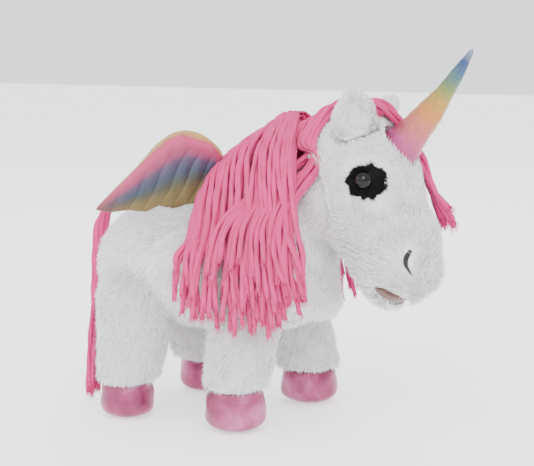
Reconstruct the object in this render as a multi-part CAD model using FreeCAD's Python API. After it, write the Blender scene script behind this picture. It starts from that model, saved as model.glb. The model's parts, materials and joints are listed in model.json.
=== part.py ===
import FreeCAD, Part
import math
import os

V = FreeCAD.Vector

# A standing plush unicorn. Millimetres, +X to the nose, +Y to its left, +Z up.
# The origin is on the ground, under the middle of the overall length and width.

# ---- sewing and stuffing ----
skinThickness = 6.0      # plush backing with its pile pressed down
coverThickness = 1.2     # foil fabric of hooves, horn and wings
fillGap = 0.3            # between a cover and the fibre fill inside it
turnGap = 0.8            # between the two sides of a limb that can move
lengthShift = 7.0        # sets the middle of the overall length over the origin

# ---- torso: a blunt egg lying along X ----
torsoBackX = -188.0
torsoFrontX = 54.0
torsoHalfWidth = 79.0
torsoHalfHeight = 64.0
torsoCentreZ = 150.0
torsoBluntness = 3.2
torsoEndShare = 0.03     # rounding of its two ends over half its length

# ---- neck: (crest x, crest z, throat x, throat z, half width) ----
neckSections = [
    (-66.0, 204.0, 50.0, 104.0, 66.0),
    (-20.0, 243.0, 57.0, 144.0, 54.0),
    (20.0, 257.0, 76.0, 184.0, 45.0),
]
neckLowCap = 10.0        # rounding of the neck form's two ends
neckHighCap = 20.0
neckBallX = 60.0
neckBallZ = 227.5
neckBallRadius = 47.0
neckCoreRadius = 22.0    # ball of fill that carries the nod

# ---- head: (along the axis, half depth, half width, offset forwards) ----
headCrownX = 70.0
headCrownZ = 282.0
headAxisX = 0.5
headAxisZ = -0.866
headSections = [
    (0.0, 44.0, 41.0, 0.0),
    (30.0, 56.0, 50.0, -1.0),
    (60.0, 57.0, 52.0, -6.0),
    (92.0, 49.0, 47.0, -7.0),
    (122.0, 45.0, 42.0, -6.0),
    (146.0, 38.0, 37.0, -10.0),
]
crownCap = 22.0
muzzleCap = 24.0
headReach = 96.0         # the head's far side from the neck joint, towards the neck
neckConeLean = 29.0      # degrees the neck leans below level
neckConeAngle = 62.0     # half angle of the neck's cone
headSwing = 17.0         # degrees: a full nod and a full turn together
sweepSpare = 1.0         # degrees of room past the end of a swing

# ---- face ----
eyeX = 98.0              # where the line of the eyes leaves the middle of the head
eyeZ = 244.0
eyeLook = (0.22, -0.97, 0.1)
eyeRadius = 8.4
eyeSunk = 2.5            # the dome's centre under the face
eyeStandoff = 0.5        # the dome's flat back over the face
pinClearance = 0.1
eyeStemRadius = 2.2
eyeStemLength = 14.0
washerRadius = 9.0
washerThickness = 2.0
patchHalfLength = 19.5
patchHalfHeight = 16.0
patchForward = 4.0       # the patch reaches further forwards than back
nostrilX = 151.0
nostrilZ = 173.0
nostrilLength = 22.0
nostrilRadius = 2.3
nostrilBow = 4.0          # how far its middle bends back
mouthX = 127.0
mouthZ = 134.0
mouthLength = 34.0
mouthHeight = 10.0
mouthTilt = 29.0         # degrees, falling towards the lips
mouthSunk = 1.5

# ---- horn ----
hornBaseX = 121.0
hornBaseZ = 275.0
hornLength = 122.0
hornAngle = 52.5         # degrees above the ground
hornBow = 4.0            # how far the middle bends below a straight line
hornBaseRadius = 20.5
hornTipRadius = 2.4

# ---- ears ----
earX = 95.0
earY = 32.0
earHeight = 39.0
earCentreShare = 0.26    # its middle over the root, over its height
earHalfShare = 0.62
earHalfWidth = 20.0
earHalfThickness = 8.0
earHollowShare = 0.73    # the hollow's width and height over the ear's
earHollowDepth = 1.2     # the hollow's half depth over the ear's half thickness
earHollowRise = 3.0
earTurn = 45.0           # degrees that the hollow faces outwards
earSplay = {"right": 20.0, "left": 52.0}    # degrees that each ear leans outwards at rest
earLiningThickness = 2.0
earRoomSpare = 3.5
earRootRadius = 8.0      # round foot of the ear, about the line it folds on
crownSpacing = 16.0      # from the ear's root to the yarn between the ears

# ---- legs: (hip x, hip y, hip z, hip radius, hoof x, hoof y, hem radius, hem z, hoof radius) ----
legSizes = {
    "front_right": (-10.0, -52.0, 114.0, 36.0, -16.0, -64.0, 32.0, 42.0, 30.0),
    "front_left": (-10.0, 52.0, 114.0, 36.0, 6.0, 66.0, 32.0, 37.0, 30.0),
    "rear_right": (-132.0, -50.0, 119.0, 42.0, -138.0, -64.0, 30.0, 36.0, 27.5),
    "rear_left": (-132.0, 50.0, 119.0, 42.0, -116.0, 64.0, 30.0, 36.0, 27.5),
}
hemTrim = 8.0            # sleeve length cut off level at the hem
hoofTopGap = 0.4
hoofWideShare = 0.45     # height of the hoof's widest ring over its top
soleShare = 0.66         # flat sole over the hoof's radius
hoofTopShare = 0.86
legSwing = 10.0          # degrees each way

# ---- mane: a curtain of yarn down each side ----
maneThickness = 10.0
maneInnerLine = [(0.0, 275.0), (44.0, 259.0), (66.0, 227.0), (86.0, 180.0), (93.5, 108.0)]
maneSideOutline = [(-16.0, 296.0), (-16.0, 220.0), (-50.0, 200.0), (-54.0, 124.0),
                   (8.0, 108.0), (64.0, 122.0), (66.0, 166.0), (50.0, 296.0)]
maneEdgeShare = 0.25     # of its thickness past the middle of the crest
maneFlareZ = 180.0       # above this the band thickens upwards
maneFlareSpan = 100.0
maneBackX = -90.0
maneLength = 200.0
maneHeadRoom = 74.0      # round space that the curtain leaves for the back of the head
tapeHalfWidth = 7.0
tapeThickness = 2.0
tapeBackX = -48.0
tapeLength = 60.0
tapeLowZ = 213.0
crownManeLength = 50.0
crownManeBehind = 0.7    # share of its length behind the crown
crownManeThickness = 12.0
crownManeLowZ = 290.0
forelockThickness = 8.0
forelockWidth = 20.0
forelockLowZ = 222.0
forelockSpacing = 3.0    # from the horn

# ---- tail ----
tailRootX = -171.5       # on the rump
tailRootZ = 200.5
tailRise = 60.0          # degrees above level, where it leaves the rump
tailBend = 15.0          # radius of its bend
tailEndX = -196.0
tailEndY = -28.0
tailEndZ = 3.0
tailRadius = 8.5
bindingLength = 10.0
bindingThickness = 1.6
bindingPlace = 1.5       # from the root

# ---- wings: outline in the wing's own plane, (back along the root, out from the root) ----
wingRootX = -71.0
wingRootY = 32.0
wingRootZ = 221.0
wingRootSweep = 20.0     # degrees inwards, towards the nose
wingRootRise = 8.0       # degrees upwards, towards the nose
wingThickness = 7.0
wingRoomSpare = 3.0
wingRoomReach = 12.0     # the groove runs on this far ahead of the wing
wingLiftRight = 50.0     # degrees above level
wingLiftLeft = 38.0
wingLeading = [(-18.0, -1.0), (-29.0, 24.0), (-34.0, 50.0), (-27.0, 75.0), (-2.0, 94.0), (14.0, 89.0),
               (47.0, 59.0), (75.0, 33.0), (105.0, 4.0)]
wingTrailing = [(92.0, -3.0), (74.0, -2.0), (58.0, -8.0), (42.0, -2.0), (29.0, -8.0), (13.0, -5.0)]


def ringWire(centre, up, side, halfUp, halfSide):
    """Closed smooth ring round centre, starting on its up side."""
    count = 12
    points = []
    for i in range(count):
        turn = 2 * math.pi * i / count
        points.append(centre + up * (halfUp * math.cos(turn)) + side * (halfSide * math.sin(turn)))
    curve = Part.BSplineCurve()
    curve.interpolate(Points=points, PeriodicFlag=True)
    return Part.Wire([curve.toShape()])


def roundedLoft(stations, startCap, endCap):
    """Loft through rings (centre, up, side, halfUp, halfSide), with rounded ends."""
    rings = list(stations)
    for first, cap in ((True, startCap), (False, endCap)):
        end = stations[0] if first else stations[-1]
        outwards = end[1].cross(end[2])
        outwards.normalize()
        inner = stations[1][0] if first else stations[-2][0]
        if outwards.dot(end[0] - inner) < 0:
            outwards = outwards * -1
        extra = []
        for degrees in (38, 62, 80):
            angle = math.radians(degrees)
            centre = end[0] + outwards * (cap * math.sin(angle))
            share = math.cos(angle)
            extra.append((centre, end[1], end[2], end[3] * share, end[4] * share))
        rings = list(reversed(extra)) + rings if first else rings + extra
    wires = [ringWire(*ring) for ring in rings]
    return Part.makeLoft(wires, True, False)


def ball(centre, radius):
    return Part.makeSphere(radius, centre)


def prism(points, depth):
    """Closed polygon swept along a vector."""
    wire = Part.makePolygon(points + [points[0]])
    return Part.Face(wire).extrude(depth)


def turned(shape, centre, axis, degrees):
    copy = shape.copy()
    copy.rotate(centre, axis, degrees)
    return copy


def mirrored(shape):
    return shape.mirror(V(0, 0, 0), V(0, 1, 0))


# ---- torso and neck ----

def torsoEgg(inset):
    middleX = (torsoBackX + torsoFrontX) / 2
    halfLength = (torsoFrontX - torsoBackX) / 2 - inset
    rings = []
    for step in (-0.97, -0.86, -0.66, -0.36, 0.0, 0.36, 0.66, 0.86, 0.97):
        share = (1 - abs(step) ** torsoBluntness) ** (1 / torsoBluntness)
        centre = V(middleX + halfLength * step, 0, torsoCentreZ)
        rings.append((centre, V(0, 0, 1), V(0, 1, 0),
                      (torsoHalfHeight - inset) * share, (torsoHalfWidth - inset) * share))
    cap = halfLength * torsoEndShare
    return roundedLoft(rings, cap, cap)


def neckLoft(inset):
    rings = []
    for crestX, crestZ, throatX, throatZ, halfWidth in neckSections:
        crest = V(crestX, 0, crestZ)
        throat = V(throatX, 0, throatZ)
        up = crest - throat
        halfDepth = up.Length / 2
        up.normalize()
        rings.append(((crest + throat) * 0.5, up, V(0, 1, 0), halfDepth - inset, halfWidth - inset))
    return roundedLoft(rings, neckLowCap, neckHighCap)


def neckCentre():
    return V(neckBallX, 0, neckBallZ)


def neckCone(halfAngle, length):
    """Cone from the neck joint down the neck, which the neck keeps inside and the head outside."""
    lean = math.radians(neckConeLean)
    down = V(-math.cos(lean), 0, -math.sin(lean))
    wide = length * math.tan(math.radians(halfAngle))
    return Part.makeCone(0, wide, length, neckCentre(), down)


def headRoomShape():
    """Everything round the neck joint that the head may sweep through."""
    return ball(neckCentre(), headReach).cut(neckCone(neckConeAngle, headReach))


def torsoBody(inset, headRoom, rooms):
    """Torso and neck as one form, with room for the head and the legs."""
    body = torsoEgg(inset).fuse(neckLoft(inset)).cut([headRoom] + rooms)
    return body.fuse(ball(neckCentre(), neckBallRadius - inset))


# ---- head ----

def headLoft(inset):
    axis = V(headAxisX, 0, headAxisZ)
    forwards = V(-headAxisZ, 0, headAxisX)
    rings = []
    for along, halfDepth, halfWidth, offset in headSections:
        centre = V(headCrownX, 0, headCrownZ) + axis * along + forwards * offset
        rings.append((centre, forwards, V(0, 1, 0), halfDepth - inset, halfWidth - inset))
    return roundedLoft(rings, crownCap - inset, muzzleCap - inset)


def onHead(x, z, look):
    """Point of the head's right side that is met by going outwards along look from its middle plane."""
    head = headLoft(0)
    line = Part.LineSegment(V(x, 0, z), V(x, 0, z) + look * 120).toShape()
    return max((vertex.Point for vertex in head.common(line).Vertexes), key=lambda point: -point.y)


def eyeFrame():
    """Centre of the right eye on the head, and the way it looks."""
    look = V(*eyeLook).normalize()
    return onHead(eyeX, eyeZ, look), look


def along(shape, centre, direction):
    """Moves a shape made at the origin along +Z so that it sits at centre, along direction."""
    copy = shape.copy()
    copy.Placement = FreeCAD.Placement(centre, FreeCAD.Rotation(V(0, 0, 1), direction))
    return copy


def eyePatchCutter(grow):
    centre, look = eyeFrame()
    ellipse = Part.Ellipse(V(0, 0, 0), patchHalfLength + grow, patchHalfHeight + grow)
    slab = Part.Face(Part.Wire([ellipse.toShape()])).extrude(V(0, 0, 4 * skinThickness))
    copy = along(slab, V(0, 0, 0), V(0, -1, 0))
    copy = turned(copy, V(0, 0, 0), V(0, 0, 1), math.degrees(math.atan2(look.x, -look.y)))
    copy.translate(centre - look * (2 * skinThickness) + V(patchForward, 0, 0))
    return copy


def eyeParts():
    """Eye dome with its stem, the washer that locks it inside, and the room that both take."""
    seat, look = eyeFrame()
    dome = along(ball(V(0, 0, 0), eyeRadius), seat - look * eyeSunk, look)
    front = along(Part.makeCylinder(eyeRadius * 1.1, eyeRadius * 2), seat + look * eyeStandoff, look)
    stem = along(Part.makeCylinder(eyeStemRadius, eyeStemLength), seat - look * (eyeStemLength - 1), look)
    eye = dome.common(front).fuse(stem).removeSplitter()
    hole = along(Part.makeCylinder(eyeStemRadius + pinClearance, eyeStemLength * 1.5),
                 seat - look * (eyeStemLength - 1 + pinClearance), look)
    washerPlace = seat - look * (skinThickness + washerThickness + eyeSunk)
    washer = along(Part.makeCylinder(washerRadius, washerThickness), washerPlace, look).cut(hole)
    washerRoom = along(Part.makeCylinder(washerRadius + fillGap, washerThickness + 2 * fillGap),
                       washerPlace - look * fillGap, look)
    bed = along(Part.makeCylinder(eyeRadius + pinClearance, eyeRadius * 2),
                seat + look * (eyeStandoff - pinClearance), look)
    return eye, washer, hole.fuse([washerRoom, bed])


def nostrilShape():
    """One comma of satin stitch, on the right of the muzzle."""
    half = nostrilLength / 2
    outwards = V(0, -1, 0)
    top = onHead(nostrilX, nostrilZ + half, outwards)
    middle = onHead(nostrilX - nostrilBow, nostrilZ, outwards)
    low = onHead(nostrilX, nostrilZ - half, outwards)
    path = Part.Wire([Part.Arc(top, middle, low).toShape()])
    start = path.Edges[0]
    ring = Part.Wire([Part.makeCircle(nostrilRadius, top, start.tangentAt(start.FirstParameter))])
    tube = path.makePipeShell([ring], True, False)
    return tube


def mouthBar(grow):
    """Bar across the muzzle, leaning with the lips."""
    ellipse = Part.Ellipse(V(0, 0, 0), mouthLength / 2 + grow, mouthHeight / 2 + grow)
    reach = 3 * mouthLength
    bar = Part.Face(Part.Wire([ellipse.toShape()])).extrude(V(0, 0, reach))
    bar.rotate(V(0, 0, 0), V(1, 0, 0), 90)
    bar.translate(V(0, reach / 2, 0))
    bar.rotate(V(0, 0, 0), V(0, 1, 0), mouthTilt)
    bar.translate(V(mouthX, 0, mouthZ))
    return bar


def hornShape(inset):
    angle = math.radians(hornAngle)
    axis = V(math.cos(angle), 0, math.sin(angle))
    under = V(math.sin(angle), 0, -math.cos(angle))
    length = hornLength - inset
    rings = []
    for share in (0.0, 0.2, 0.4, 0.6, 0.8, 0.95):
        bow = hornBow * math.sin(math.pi * share)
        centre = V(hornBaseX, 0, hornBaseZ) + axis * (length * share) + under * bow
        radius = hornBaseRadius + (hornTipRadius - hornBaseRadius) * share ** 0.92 - inset
        rings.append((centre, under, V(0, 1, 0), max(radius, hornTipRadius / 3), max(radius, hornTipRadius / 3)))
    wires = [ringWire(*ring) for ring in rings]
    end = rings[-1]
    wires.append(ringWire(end[0] + axis * (length * 0.04), end[1], end[2], end[3] * 0.6, end[4] * 0.6))
    return Part.makeLoft(wires, True, False)


# ---- ears ----

def earRoot():
    """Root of the right ear, on top of the head."""
    head = headLoft(0)
    line = Part.LineSegment(V(earX, -earY, headCrownZ - crownCap), V(earX, -earY, headCrownZ + 80)).toShape()
    return max((vertex.Point for vertex in head.common(line).Vertexes), key=lambda point: point.z)


def egg(halfX, halfY, halfZ, centre):
    matrix = FreeCAD.Matrix()
    matrix.scale(halfX, halfY, halfZ)
    shape = Part.makeSphere(1.0).transformGeometry(matrix)
    shape.translate(centre)
    return shape


def earParts(splay):
    """Plush outside and lining of the right ear, and the room its foot turns in."""
    middle = V(0, 0, earHeight * earCentreShare)
    halfHeight = earHeight * earHalfShare
    whole = egg(earHalfThickness, earHalfWidth, halfHeight, middle)
    foot = Part.makeCylinder(earRootRadius, 3 * earHalfWidth, V(0, -1.5 * earHalfWidth, 0), V(0, 1, 0))
    below = Part.makeBox(60, 120, 60, V(-30, -60, -60))
    whole = whole.cut(below.cut(foot))
    place = middle + V(earHalfThickness * earHollowDepth, 0, earHollowRise)
    sizes = (earHalfThickness * earHollowDepth, earHalfWidth * earHollowShare, halfHeight * earHollowShare)
    hollow = egg(*sizes, place)
    deep = egg(*[size + earLiningThickness for size in sizes], place)
    reach = earHalfWidth + earRoomSpare
    room = Part.makeCylinder(earRootRadius + earRoomSpare, 2 * reach, V(0, -reach, 0), V(0, 1, 0))
    parts = []
    for shape in (whole.cut(deep), whole.common(deep).cut(hollow), room):
        shape.rotate(V(0, 0, 0), V(0, 0, 1), -earTurn)
        shape.rotate(V(0, 0, 0), V(1, 0, 0), splay)
        shape.translate(earRoot())
        parts.append(shape)
    return parts


# ---- legs ----

def legForm(name, grow, spread=0.0):
    """Tapered sleeve with a round top at the hip and a level hem."""
    hipX, hipY, hipZ, hipRadius, hoofX, hoofY, hemRadius, hemZ = legSizes[name][:8]
    hip = V(hipX, hipY, hipZ)
    down = V(hoofX, hoofY, hemZ) - hip
    length = down.Length + hemTrim
    down.normalize()
    sleeve = Part.makeCone(hipRadius + grow, hemRadius + grow + spread * length, length, hip, down)
    floorBox = Part.makeBox(200, 200, hemZ, V(hipX - 100, hipY - 100, 0))
    return sleeve.fuse(ball(hip, hipRadius + grow)).cut(floorBox)


def hoofForm(name, inset, top):
    """Round pad with a flat sole, made by turning its outline."""
    hoofX, hoofY, hemRadius, hemZ, radius = legSizes[name][4:]
    wide = hemZ * hoofWideShare
    sole = radius * soleShare
    rim = V(radius - inset, 0, wide)
    low = V(sole + (radius - inset - sole) * 0.72, 0, inset + (wide - inset) * 0.3)
    high = V(radius * 0.5 * (1 + hoofTopShare) - inset + 1.2, 0, (wide + hemZ) / 2)
    crown = V(radius * hoofTopShare - inset, 0, hemZ - hoofTopGap)
    edges = [
        Part.LineSegment(V(0, 0, inset), V(sole, 0, inset)).toShape(),
        Part.Arc(V(sole, 0, inset), low, rim).toShape(),
        Part.Arc(rim, high, crown).toShape(),
    ]
    corner = V(crown.x, 0, top)
    if top > crown.z + 0.01:
        edges.append(Part.LineSegment(crown, corner).toShape())
    edges.append(Part.LineSegment(corner, V(0, 0, top)).toShape())
    edges.append(Part.LineSegment(V(0, 0, top), V(0, 0, inset)).toShape())
    shape = Part.Face(Part.Wire(edges)).revolve(V(0, 0, 0), V(0, 0, 1), 360)
    shape.translate(V(hoofX, hoofY, 0))
    return shape


def legParts(name):
    """Plush sleeve, foil hoof and the fill that runs through both."""
    skin = legForm(name, 0).cut(legForm(name, -skinThickness))
    hemZ = legSizes[name][7]
    hoofTop = hemZ - hoofTopGap
    hoof = hoofForm(name, 0, hoofTop).cut(hoofForm(name, coverThickness, hoofTop))
    fill = legForm(name, -skinThickness - fillGap)
    fill = fill.fuse(hoofForm(name, coverThickness + fillGap, hemZ + 3)).removeSplitter()
    return skin, hoof, fill


# ---- wings ----

def wingFrame(side, lift):
    """Root point, the way back along the root, outwards, and the normal; side is -1 on the right."""
    sweep = math.radians(wingRootSweep)
    rise = math.radians(wingRootRise)
    back = V(-math.cos(sweep) * math.cos(rise), math.sin(sweep) * math.cos(rise) * side, -math.sin(rise))
    level = V(0, 0, 1).cross(back) * (-side)
    if level.y * side < 0:
        level = level * -1
    level.normalize()
    straightUp = back.cross(level) * side
    if straightUp.z < 0:
        straightUp = straightUp * -1
    angle = math.radians(lift)
    out = level * math.cos(angle) + straightUp * math.sin(angle)
    return V(wingRootX, wingRootY * side, wingRootZ), back, out, back.cross(out)


def wingRoom(side, lift):
    """Groove along the back that the wing's root edge turns in."""
    root, back, out, normal = wingFrame(side, lift)
    deepest = max(-place for along, place in wingTrailing)
    radius = math.hypot(deepest, wingThickness / 2) + wingRoomSpare
    front = wingLeading[0][0] - wingRoomReach
    return Part.makeCylinder(radius, wingLeading[-1][0] - front, root + back * front, back)


def wingFace(trim):
    """Flat outline of a wing: smooth leading edge, scalloped trailing edge."""
    leading = Part.BSplineCurve()
    leading.interpolate([V(a, b, 0) for a, b in wingLeading])
    edges = [leading.toShape()]
    corners = [wingLeading[-1]] + wingTrailing + [wingLeading[0]]
    for start, end in zip(corners[:-1], corners[1:]):
        first = V(start[0], start[1], 0)
        last = V(end[0], end[1], 0)
        edges.append(Part.LineSegment(first, last).toShape())
    wire = Part.Wire(edges)
    if trim:
        wire = wire.makeOffset2D(-trim)
    return Part.Face(wire)


def wingShape(side, lift, trim):
    depth = wingThickness - 2 * trim
    slab = wingFace(trim).extrude(V(0, 0, depth))
    slab.translate(V(0, 0, -depth / 2))
    root, back, out, normal = wingFrame(side, lift)
    matrix = FreeCAD.Matrix(back.x, out.x, normal.x, root.x,
                            back.y, out.y, normal.y, root.y,
                            back.z, out.z, normal.z, root.z,
                            0, 0, 0, 1)
    return slab.transformGeometry(matrix)


# ---- mane, forelock and tail ----

def maneCurtain():
    """Curtain of yarn on the right: a draped band, trimmed to its outline from the side."""
    inner = [V(maneBackX, -y, z) for y, z in maneInnerLine]
    outer = []
    for y, z in reversed(maneInnerLine):
        rise = maneThickness * max(0.0, (z - maneFlareZ) / maneFlareSpan)
        share = maneEdgeShare if y == 0 else 1.0
        outer.append(V(maneBackX, -(y + maneThickness * share), z + rise))
    band = prism(inner + outer, V(maneLength, 0, 0))
    outline = [V(x, 0, z) for x, z in maneSideOutline]
    return band.common(prism(outline, V(0, -maneLength, 0)))


def crownMane():
    """Pad of yarn stitched over the poll, between the ears."""
    pad = headLoft(-crownManeThickness).cut(headLoft(-fillGap))
    halfWidth = earY - crownSpacing
    back = headCrownX - crownManeLength * crownManeBehind
    return pad.common(Part.makeBox(crownManeLength, 2 * halfWidth, 60, V(back, -halfWidth, crownManeLowZ)))


def forelock():
    """Strands that fall over the forehead on the left of the horn."""
    pad = headLoft(-forelockThickness).cut(headLoft(-fillGap))
    corner = V(hornBaseX, hornBaseRadius + forelockSpacing, forelockLowZ)
    return pad.common(Part.makeBox(60, forelockWidth, 90, corner))


def tailParts():
    """Bundle of yarn that rises off the rump, bends over and hangs, and the thread bound round its root."""
    rise = math.radians(tailRise)
    root = V(tailRootX, 0, tailRootZ)
    bendCentre = root - V(math.sin(rise), 0, math.cos(rise)) * tailBend
    top = bendCentre + V(0, 0, tailBend)
    start = bendCentre - V(tailBend, 0, 0)
    end = V(tailEndX, tailEndY, tailEndZ)
    heading = V(-math.cos(rise), 0, math.sin(rise))
    bend = Part.Wire([Part.Arc(root, top, start).toShape()])
    ring = Part.Wire([Part.makeCircle(tailRadius, root, heading)])
    yarn = bend.makePipeShell([ring], True, False)
    yarn = yarn.fuse([Part.makeCylinder(tailRadius, (end - start).Length, start, end - start), ball(start, tailRadius)])
    place = root + heading * bindingPlace
    room = Part.makeCylinder(tailRadius + fillGap, bindingLength, place, heading)
    outside = Part.makeCylinder(tailRadius + bindingThickness, bindingLength, place, heading)
    return yarn, outside.cut([room, yarn])


# ---- the whole unicorn ----

def build():
    nodes = {}
    headOuter = headLoft(0)
    headInner = headLoft(skinThickness)
    headFill = headLoft(skinThickness + fillGap)
    socket = ball(neckCentre(), neckBallRadius + turnGap).fuse(neckCone(neckConeAngle + headSwing + sweepSpare, headReach))

    headRoom = headRoomShape()
    rooms = []
    for name in legSizes:
        rooms.append(legForm(name, turnGap, math.tan(math.radians(legSwing + sweepSpare))))
    rooms += [wingRoom(-1, wingLiftRight), wingRoom(1, wingLiftLeft)]
    torsoOuter = torsoBody(0, headRoom, rooms)
    torsoInner = torsoBody(skinThickness, headRoom, [])
    torsoFill = torsoBody(skinThickness + fillGap, headRoom, rooms)
    coreRoom = ball(neckCentre(), neckCoreRadius + turnGap)
    nodes["torso_skin"] = torsoOuter.cut(torsoInner)
    nodes["torso_stuffing"] = torsoFill.cut(coreRoom)
    nodes["neck_stuffing"] = ball(neckCentre(), neckCoreRadius)

    for name in legSizes:
        skin, hoof, fill = legParts(name)
        nodes["leg_skin_" + name] = skin
        nodes["hoof_cover_" + name] = hoof
        nodes["leg_stuffing_" + name] = fill

    headSkin = headOuter.cut(headInner).cut(socket)
    headCore = headFill.cut(socket)
    mouthRoom = mouthBar(fillGap)
    headSkin = headSkin.cut(mouthRoom)
    headCore = headCore.cut(mouthRoom)
    nodes["mouth_lining"] = mouthBar(0).common(headLoft(mouthSunk)).cut(socket)

    hornOuter = hornShape(0)
    hornRoom = hornShape(-fillGap)
    headSkin = headSkin.cut(hornRoom)
    headCore = headCore.cut(hornRoom)
    nodes["horn_cover"] = hornOuter.cut(hornShape(coverThickness))
    nodes["horn_stuffing"] = hornShape(coverThickness + fillGap)

    eye, washer, eyeRoom = eyeParts()
    patchRoom = eyePatchCutter(fillGap)
    patch = headOuter.cut(headInner).common(eyePatchCutter(0)).cut(eyeRoom)
    nostril = nostrilShape()
    for sideName, place in (("right", lambda shape: shape), ("left", mirrored)):
        headSkin = headSkin.cut(place(patchRoom)).cut(place(eyeRoom)).cut(place(nostril))
        headCore = headCore.cut(place(eyeRoom)).cut(place(nostril))
        nodes["eye_patch_" + sideName] = place(patch)
        nodes["eye_" + sideName] = place(eye)
        nodes["eye_washer_" + sideName] = place(washer)
        nodes["nostril_" + sideName] = place(nostril)

    root = earRoot()
    for sideName, place in (("right", lambda shape: shape), ("left", mirrored)):
        earOuter, earLining, earRoom = earParts(earSplay[sideName])
        headSkin = headSkin.cut(place(earRoom))
        headCore = headCore.cut(place(earRoom))
        nodes["ear_outer_" + sideName] = place(earOuter)
        nodes["ear_lining_" + sideName] = place(earLining)
    nodes["head_skin"] = headSkin
    nodes["head_stuffing"] = headCore

    strip = Part.makeBox(tapeLength, 2 * tapeHalfWidth, 80, V(tapeBackX, -tapeHalfWidth, tapeLowZ))
    tape = neckLoft(-tapeThickness).common(strip)
    nodes["mane_tape"] = tape.cut([torsoOuter, headRoom, ball(neckCentre(), neckBallRadius + turnGap)])
    headCentre = V(headCrownX, 0, headCrownZ) + V(headAxisX, 0, headAxisZ) * headSections[1][0]
    curtain = maneCurtain().cut(ball(headCentre, maneHeadRoom))
    nodes["mane_right"] = curtain
    nodes["mane_left"] = mirrored(curtain)
    ears = [ball(root, earHalfWidth), mirrored(ball(root, earHalfWidth))]
    nodes["crown_mane"] = crownMane().cut(ears).cut(hornRoom)
    nodes["forelock"] = forelock().cut(ears)

    yarn, binding = tailParts()
    nodes["tail_yarn"] = yarn
    nodes["tail_binding"] = binding

    for sideName, side, lift in (("right", -1, wingLiftRight), ("left", 1, wingLiftLeft)):
        outer = wingShape(side, lift, 0)
        nodes["wing_cover_" + sideName] = outer.cut(wingShape(side, lift, coverThickness))
        nodes["wing_padding_" + sideName] = wingShape(side, lift, coverThickness + fillGap)
    return nodes


os.makedirs("parts", exist_ok=True)
for nodeName, shape in build().items():
    shape.translate(V(lengthShift, 0, 0))
    solids = shape.Solids
    print(nodeName, len(solids), round(shape.Volume), shape.isValid())
    shape.exportStep("parts/" + nodeName + ".step")
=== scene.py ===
import bpy
import json
import math
import numpy as np
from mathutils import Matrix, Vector

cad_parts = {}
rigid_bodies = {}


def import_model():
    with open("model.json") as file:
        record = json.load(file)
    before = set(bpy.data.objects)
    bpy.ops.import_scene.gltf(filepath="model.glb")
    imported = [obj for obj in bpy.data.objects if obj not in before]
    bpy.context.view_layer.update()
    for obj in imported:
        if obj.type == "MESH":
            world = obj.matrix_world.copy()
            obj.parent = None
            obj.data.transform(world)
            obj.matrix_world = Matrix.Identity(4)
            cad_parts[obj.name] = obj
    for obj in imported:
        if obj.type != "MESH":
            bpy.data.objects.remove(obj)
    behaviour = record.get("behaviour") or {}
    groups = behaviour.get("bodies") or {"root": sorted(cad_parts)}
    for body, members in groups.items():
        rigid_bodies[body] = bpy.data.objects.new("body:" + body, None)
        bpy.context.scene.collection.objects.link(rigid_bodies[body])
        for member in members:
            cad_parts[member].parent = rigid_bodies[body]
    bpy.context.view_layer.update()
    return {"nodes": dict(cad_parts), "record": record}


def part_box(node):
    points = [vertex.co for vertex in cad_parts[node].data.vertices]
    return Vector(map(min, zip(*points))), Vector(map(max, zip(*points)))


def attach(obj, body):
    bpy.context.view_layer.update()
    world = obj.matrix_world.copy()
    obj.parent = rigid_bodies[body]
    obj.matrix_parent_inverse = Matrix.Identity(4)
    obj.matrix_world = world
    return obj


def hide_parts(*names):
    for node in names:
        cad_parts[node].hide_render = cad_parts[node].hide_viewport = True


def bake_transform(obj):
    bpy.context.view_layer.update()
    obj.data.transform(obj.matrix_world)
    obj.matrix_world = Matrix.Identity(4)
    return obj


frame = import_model()
record = frame["record"]
MM = 0.001

# settings, in millimetres unless noted
FUR = {"length": 8.0, "width": 0.75, "face": 6.0, "torso": 56000, "head": 56000, "leg": 22000, "ear": 6000}
YARN = {"radius": 2.3, "lobes": 3, "depth": 0.25, "twist": 8.5, "step": 2.6, "sides": 9,
        "loose": 9, "fibres": 16}
MANE = {"strands": 72, "crown": 26, "forelock": 21, "tail": 16}
HORN = {"around": 56, "rings": 70}
VIEW = {"azimuth": 25.0, "elevation": 8.5, "distance": 1.45, "target": (-0.005, 0.0, 0.1855), "lens": 97.75}
LEGS = ("front_right", "front_left", "rear_right", "rear_left")


def setActive(obj):
    bpy.ops.object.select_all(action="DESELECT")
    obj.select_set(True)
    bpy.context.view_layer.objects.active = obj


def applyModifier(obj, kind, **values):
    modifier = obj.modifiers.new(kind.title(), kind)
    for key, value in values.items():
        setattr(modifier, key, value)
    setActive(obj)
    bpy.ops.object.modifier_apply(modifier=modifier.name)


def coords(obj):
    out = np.zeros(len(obj.data.vertices) * 3)
    obj.data.vertices.foreach_get("co", out)
    return out.reshape(-1, 3)


def setCoords(obj, points):
    obj.data.vertices.foreach_set("co", np.asarray(points, float).ravel())
    obj.data.update()


def named(obj, name, material, smooth=True):
    obj.name = name
    obj.data.name = name
    obj.data.materials.clear()
    obj.data.materials.append(material)
    if smooth:
        obj.data.shade_smooth()
    return obj


def rawMesh(name, vertices, faces, material, smooth=True):
    mesh = bpy.data.meshes.new(name)
    mesh.vertices.add(len(vertices))
    mesh.vertices.foreach_set("co", np.asarray(vertices, np.float32).ravel())
    sizes = np.array([len(face) for face in faces])
    flat = np.concatenate(list(faces))
    mesh.loops.add(len(flat))
    mesh.loops.foreach_set("vertex_index", flat.astype(np.int32))
    mesh.polygons.add(len(sizes))
    mesh.polygons.foreach_set("loop_start", np.concatenate([[0], np.cumsum(sizes)[:-1]]).astype(np.int32))
    mesh.update(calc_edges=True)
    mesh.validate()
    obj = bpy.data.objects.new(name, mesh)
    bpy.context.scene.collection.objects.link(obj)
    mesh.materials.append(material)
    if smooth:
        mesh.shade_smooth()
    return obj


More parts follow.
